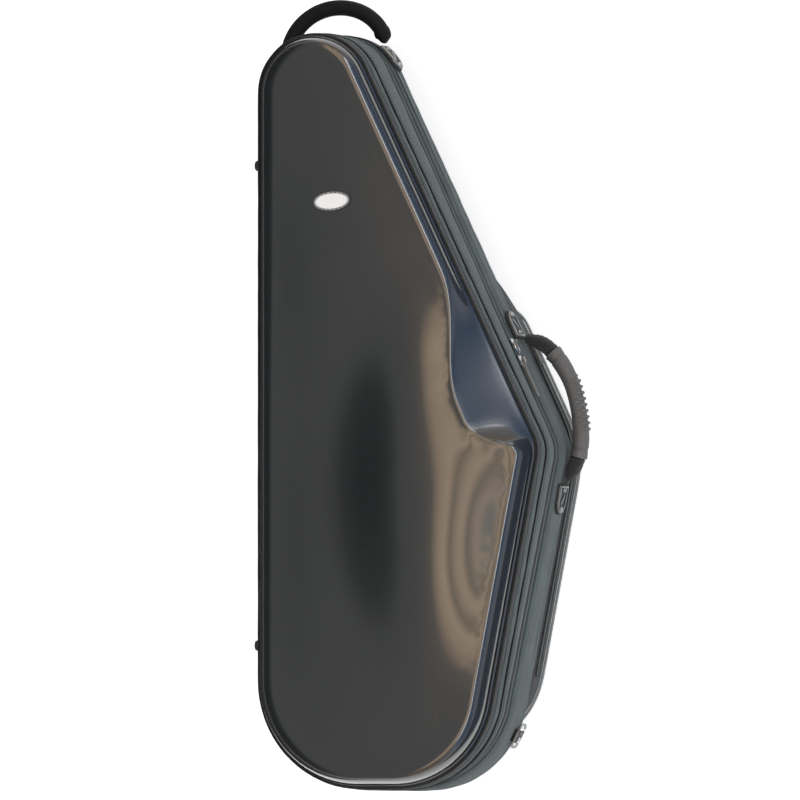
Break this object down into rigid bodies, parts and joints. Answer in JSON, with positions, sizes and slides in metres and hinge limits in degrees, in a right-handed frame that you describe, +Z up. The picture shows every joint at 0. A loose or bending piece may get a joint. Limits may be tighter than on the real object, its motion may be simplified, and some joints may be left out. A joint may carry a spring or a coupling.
{
  "type": "tenor saxophone case",
  "caption": "Shaped saxophone case with a gloss moulded lid on a zipped fabric body, foam bed, back pocket, padded handles and rubber feet.",
  "frame": {"origin": "on the floor, under the middle of the case's length and width, where the flat of the back pocket rests", "axes": "+X from the straight spine to the bell side, +Y from the bottom to the top handle, +Z up out of the lid"},
  "size_m": [0.3665, 0.8833, 0.217],
  "materials": {
    "gloss_shell": "high gloss, smooth",
    "binding_cloth": "woven binding tape",
    "band_cloth": "woven grey-green cloth",
    "zip_cloth": "woven zip tape",
    "zip_coil": "nylon coil",
    "hoop_foam": "rigid foam",
    "back_panel": "thin board",
    "plush_lining": "short plush",
    "pocket_nylon": "woven nylon",
    "piping": "reflective piping",
    "slider_metal": "polished",
    "plate_metal": "stamped, satin",
    "pad_rubber": "matte",
    "grip_rubber": "ribbed, matte",
    "sleeve_cloth": "woven sleeve",
    "handle_leather": "grained",
    "foot_rubber": "matte",
    "screw_steel": "satin",
    "badge_plate": "satin, bare"
  },
  "bodies": {
    "base": {"back_piping": "binding_cloth", "base_hinge_cloth": "binding_cloth", "hold_strap": "binding_cloth", "base_band": "band_cloth", "hold_strap_patch_spine": "band_cloth", "hold_strap_patch_side": "band_cloth", "base_zip_tape": "zip_cloth", "pocket_zip": "zip_cloth", "base_zip_coil": "zip_coil", "base_wall": "hoop_foam", "back_board": "back_panel", "base_lining": "plush_lining", "foam_bed": "plush_lining", "back_cover": "pocket_nylon", "pocket_body": "pocket_nylon", "pocket_piping": "piping", "top_plate_side": "plate_metal", "top_plate_spine": "plate_metal", "side_plate_upper": "plate_metal", "side_plate_lower": "plate_metal", "strap_ring_clip": "plate_metal", "top_plate_side_pad": "pad_rubber", "top_plate_spine_pad": "pad_rubber", "side_plate_upper_pad": "pad_rubber", "side_plate_lower_pad": "pad_rubber", "base_foot_lower": "foot_rubber", "base_foot_upper": "foot_rubber", "base_foot_screw_lower": "screw_steel", "base_foot_screw_upper": "screw_steel"},
    "lid": {"lid_shell": "gloss_shell", "lid_binding": "binding_cloth", "lid_welt": "binding_cloth", "lid_hinge_cloth": "binding_cloth", "lid_band": "band_cloth", "lid_zip_tape": "zip_cloth", "lid_zip_coil": "zip_coil", "lid_wall": "hoop_foam", "lid_liner": "hoop_foam", "lid_lining": "plush_lining", "lid_foot_lower": "foot_rubber", "lid_foot_upper": "foot_rubber", "lid_foot_screw_lower": "screw_steel", "lid_foot_screw_upper": "screw_steel", "badge_plate": "badge_plate", "badge_rim": "badge_plate"},
    "zip_slider_upper": {"zip_slider_upper": "slider_metal"},
    "zip_pull_upper": {"zip_pull_upper": "slider_metal"},
    "zip_slider_lower": {"zip_slider_lower": "slider_metal"},
    "zip_pull_lower": {"zip_pull_lower": "slider_metal"},
    "pocket_slider": {"pocket_slider": "slider_metal"},
    "pocket_pull": {"pocket_pull": "slider_metal"},
    "top_handle": {"top_handle_grip": "handle_leather", "top_handle_tab_side": "handle_leather", "top_handle_tab_spine": "handle_leather"},
    "side_handle": {"side_handle_grip": "grip_rubber", "side_sleeve_upper": "sleeve_cloth", "side_sleeve_lower": "sleeve_cloth", "side_handle_tab_upper": "sleeve_cloth", "side_handle_tab_lower": "sleeve_cloth"},
    "strap_ring": {"strap_ring": "plate_metal"}
  },
  "joints": [
    {"name": "lid_hinge", "type": "hinge", "parent": "base", "child": "lid", "pos_m": [-0.1666, 0, 0.099], "axis": [0, -0.9993, 0.037], "range_deg": [0, 105]},
    {"name": "top_handle_tilt", "type": "hinge", "parent": "base", "child": "top_handle", "pos_m": [-0.05486, 0.41238, 0.0615], "axis": [-0.9763, -0.2164, 0], "range_deg": [-30, 30]},
    {"name": "side_handle_tilt", "type": "hinge", "parent": "base", "child": "side_handle", "pos_m": [0.11339, 0.08207, 0.07], "axis": [0.2966, -0.955, 0], "range_deg": [-20, 20]},
    {"name": "zip_slide_upper", "type": "slide", "parent": "base", "child": "zip_slider_upper", "axis": [-0.4323, 0.9011, -0.0333], "range_m": [0, 0.3]},
    {"name": "zip_pull_swing_upper", "type": "hinge", "parent": "zip_slider_upper", "child": "zip_pull_upper", "pos_m": [0.11269, 0.07497, 0.09632], "axis": [-0.0144, 0.0301, 0.9994], "range_deg": [0, 170]},
    {"name": "zip_slide_lower", "type": "slide", "parent": "base", "child": "zip_slider_lower", "axis": [0.4323, -0.9011, 0.0333], "range_m": [0, 0.075]},
    {"name": "zip_pull_swing_lower", "type": "hinge", "parent": "zip_slider_lower", "child": "zip_pull_lower", "pos_m": [0.1218, 0.05597, 0.09702], "axis": [-0.0144, 0.0301, 0.9994], "range_deg": [0, 150]},
    {"name": "pocket_slide", "type": "slide", "parent": "base", "child": "pocket_slider", "axis": [0.4325, -0.9016, 0], "range_m": [0, 0.07]},
    {"name": "pocket_pull_swing", "type": "hinge", "parent": "pocket_slider", "child": "pocket_pull", "pos_m": [0.11086, 0.07716, 0.03], "axis": [0, 0, 1], "range_deg": [0, 170]},
    {"name": "strap_ring_swing", "type": "hinge", "parent": "base", "child": "strap_ring", "pos_m": [0.10447, -0.36071, 0.069], "axis": [-0.454, -0.891, 0], "range_deg": [0, 150]}
  ]
}
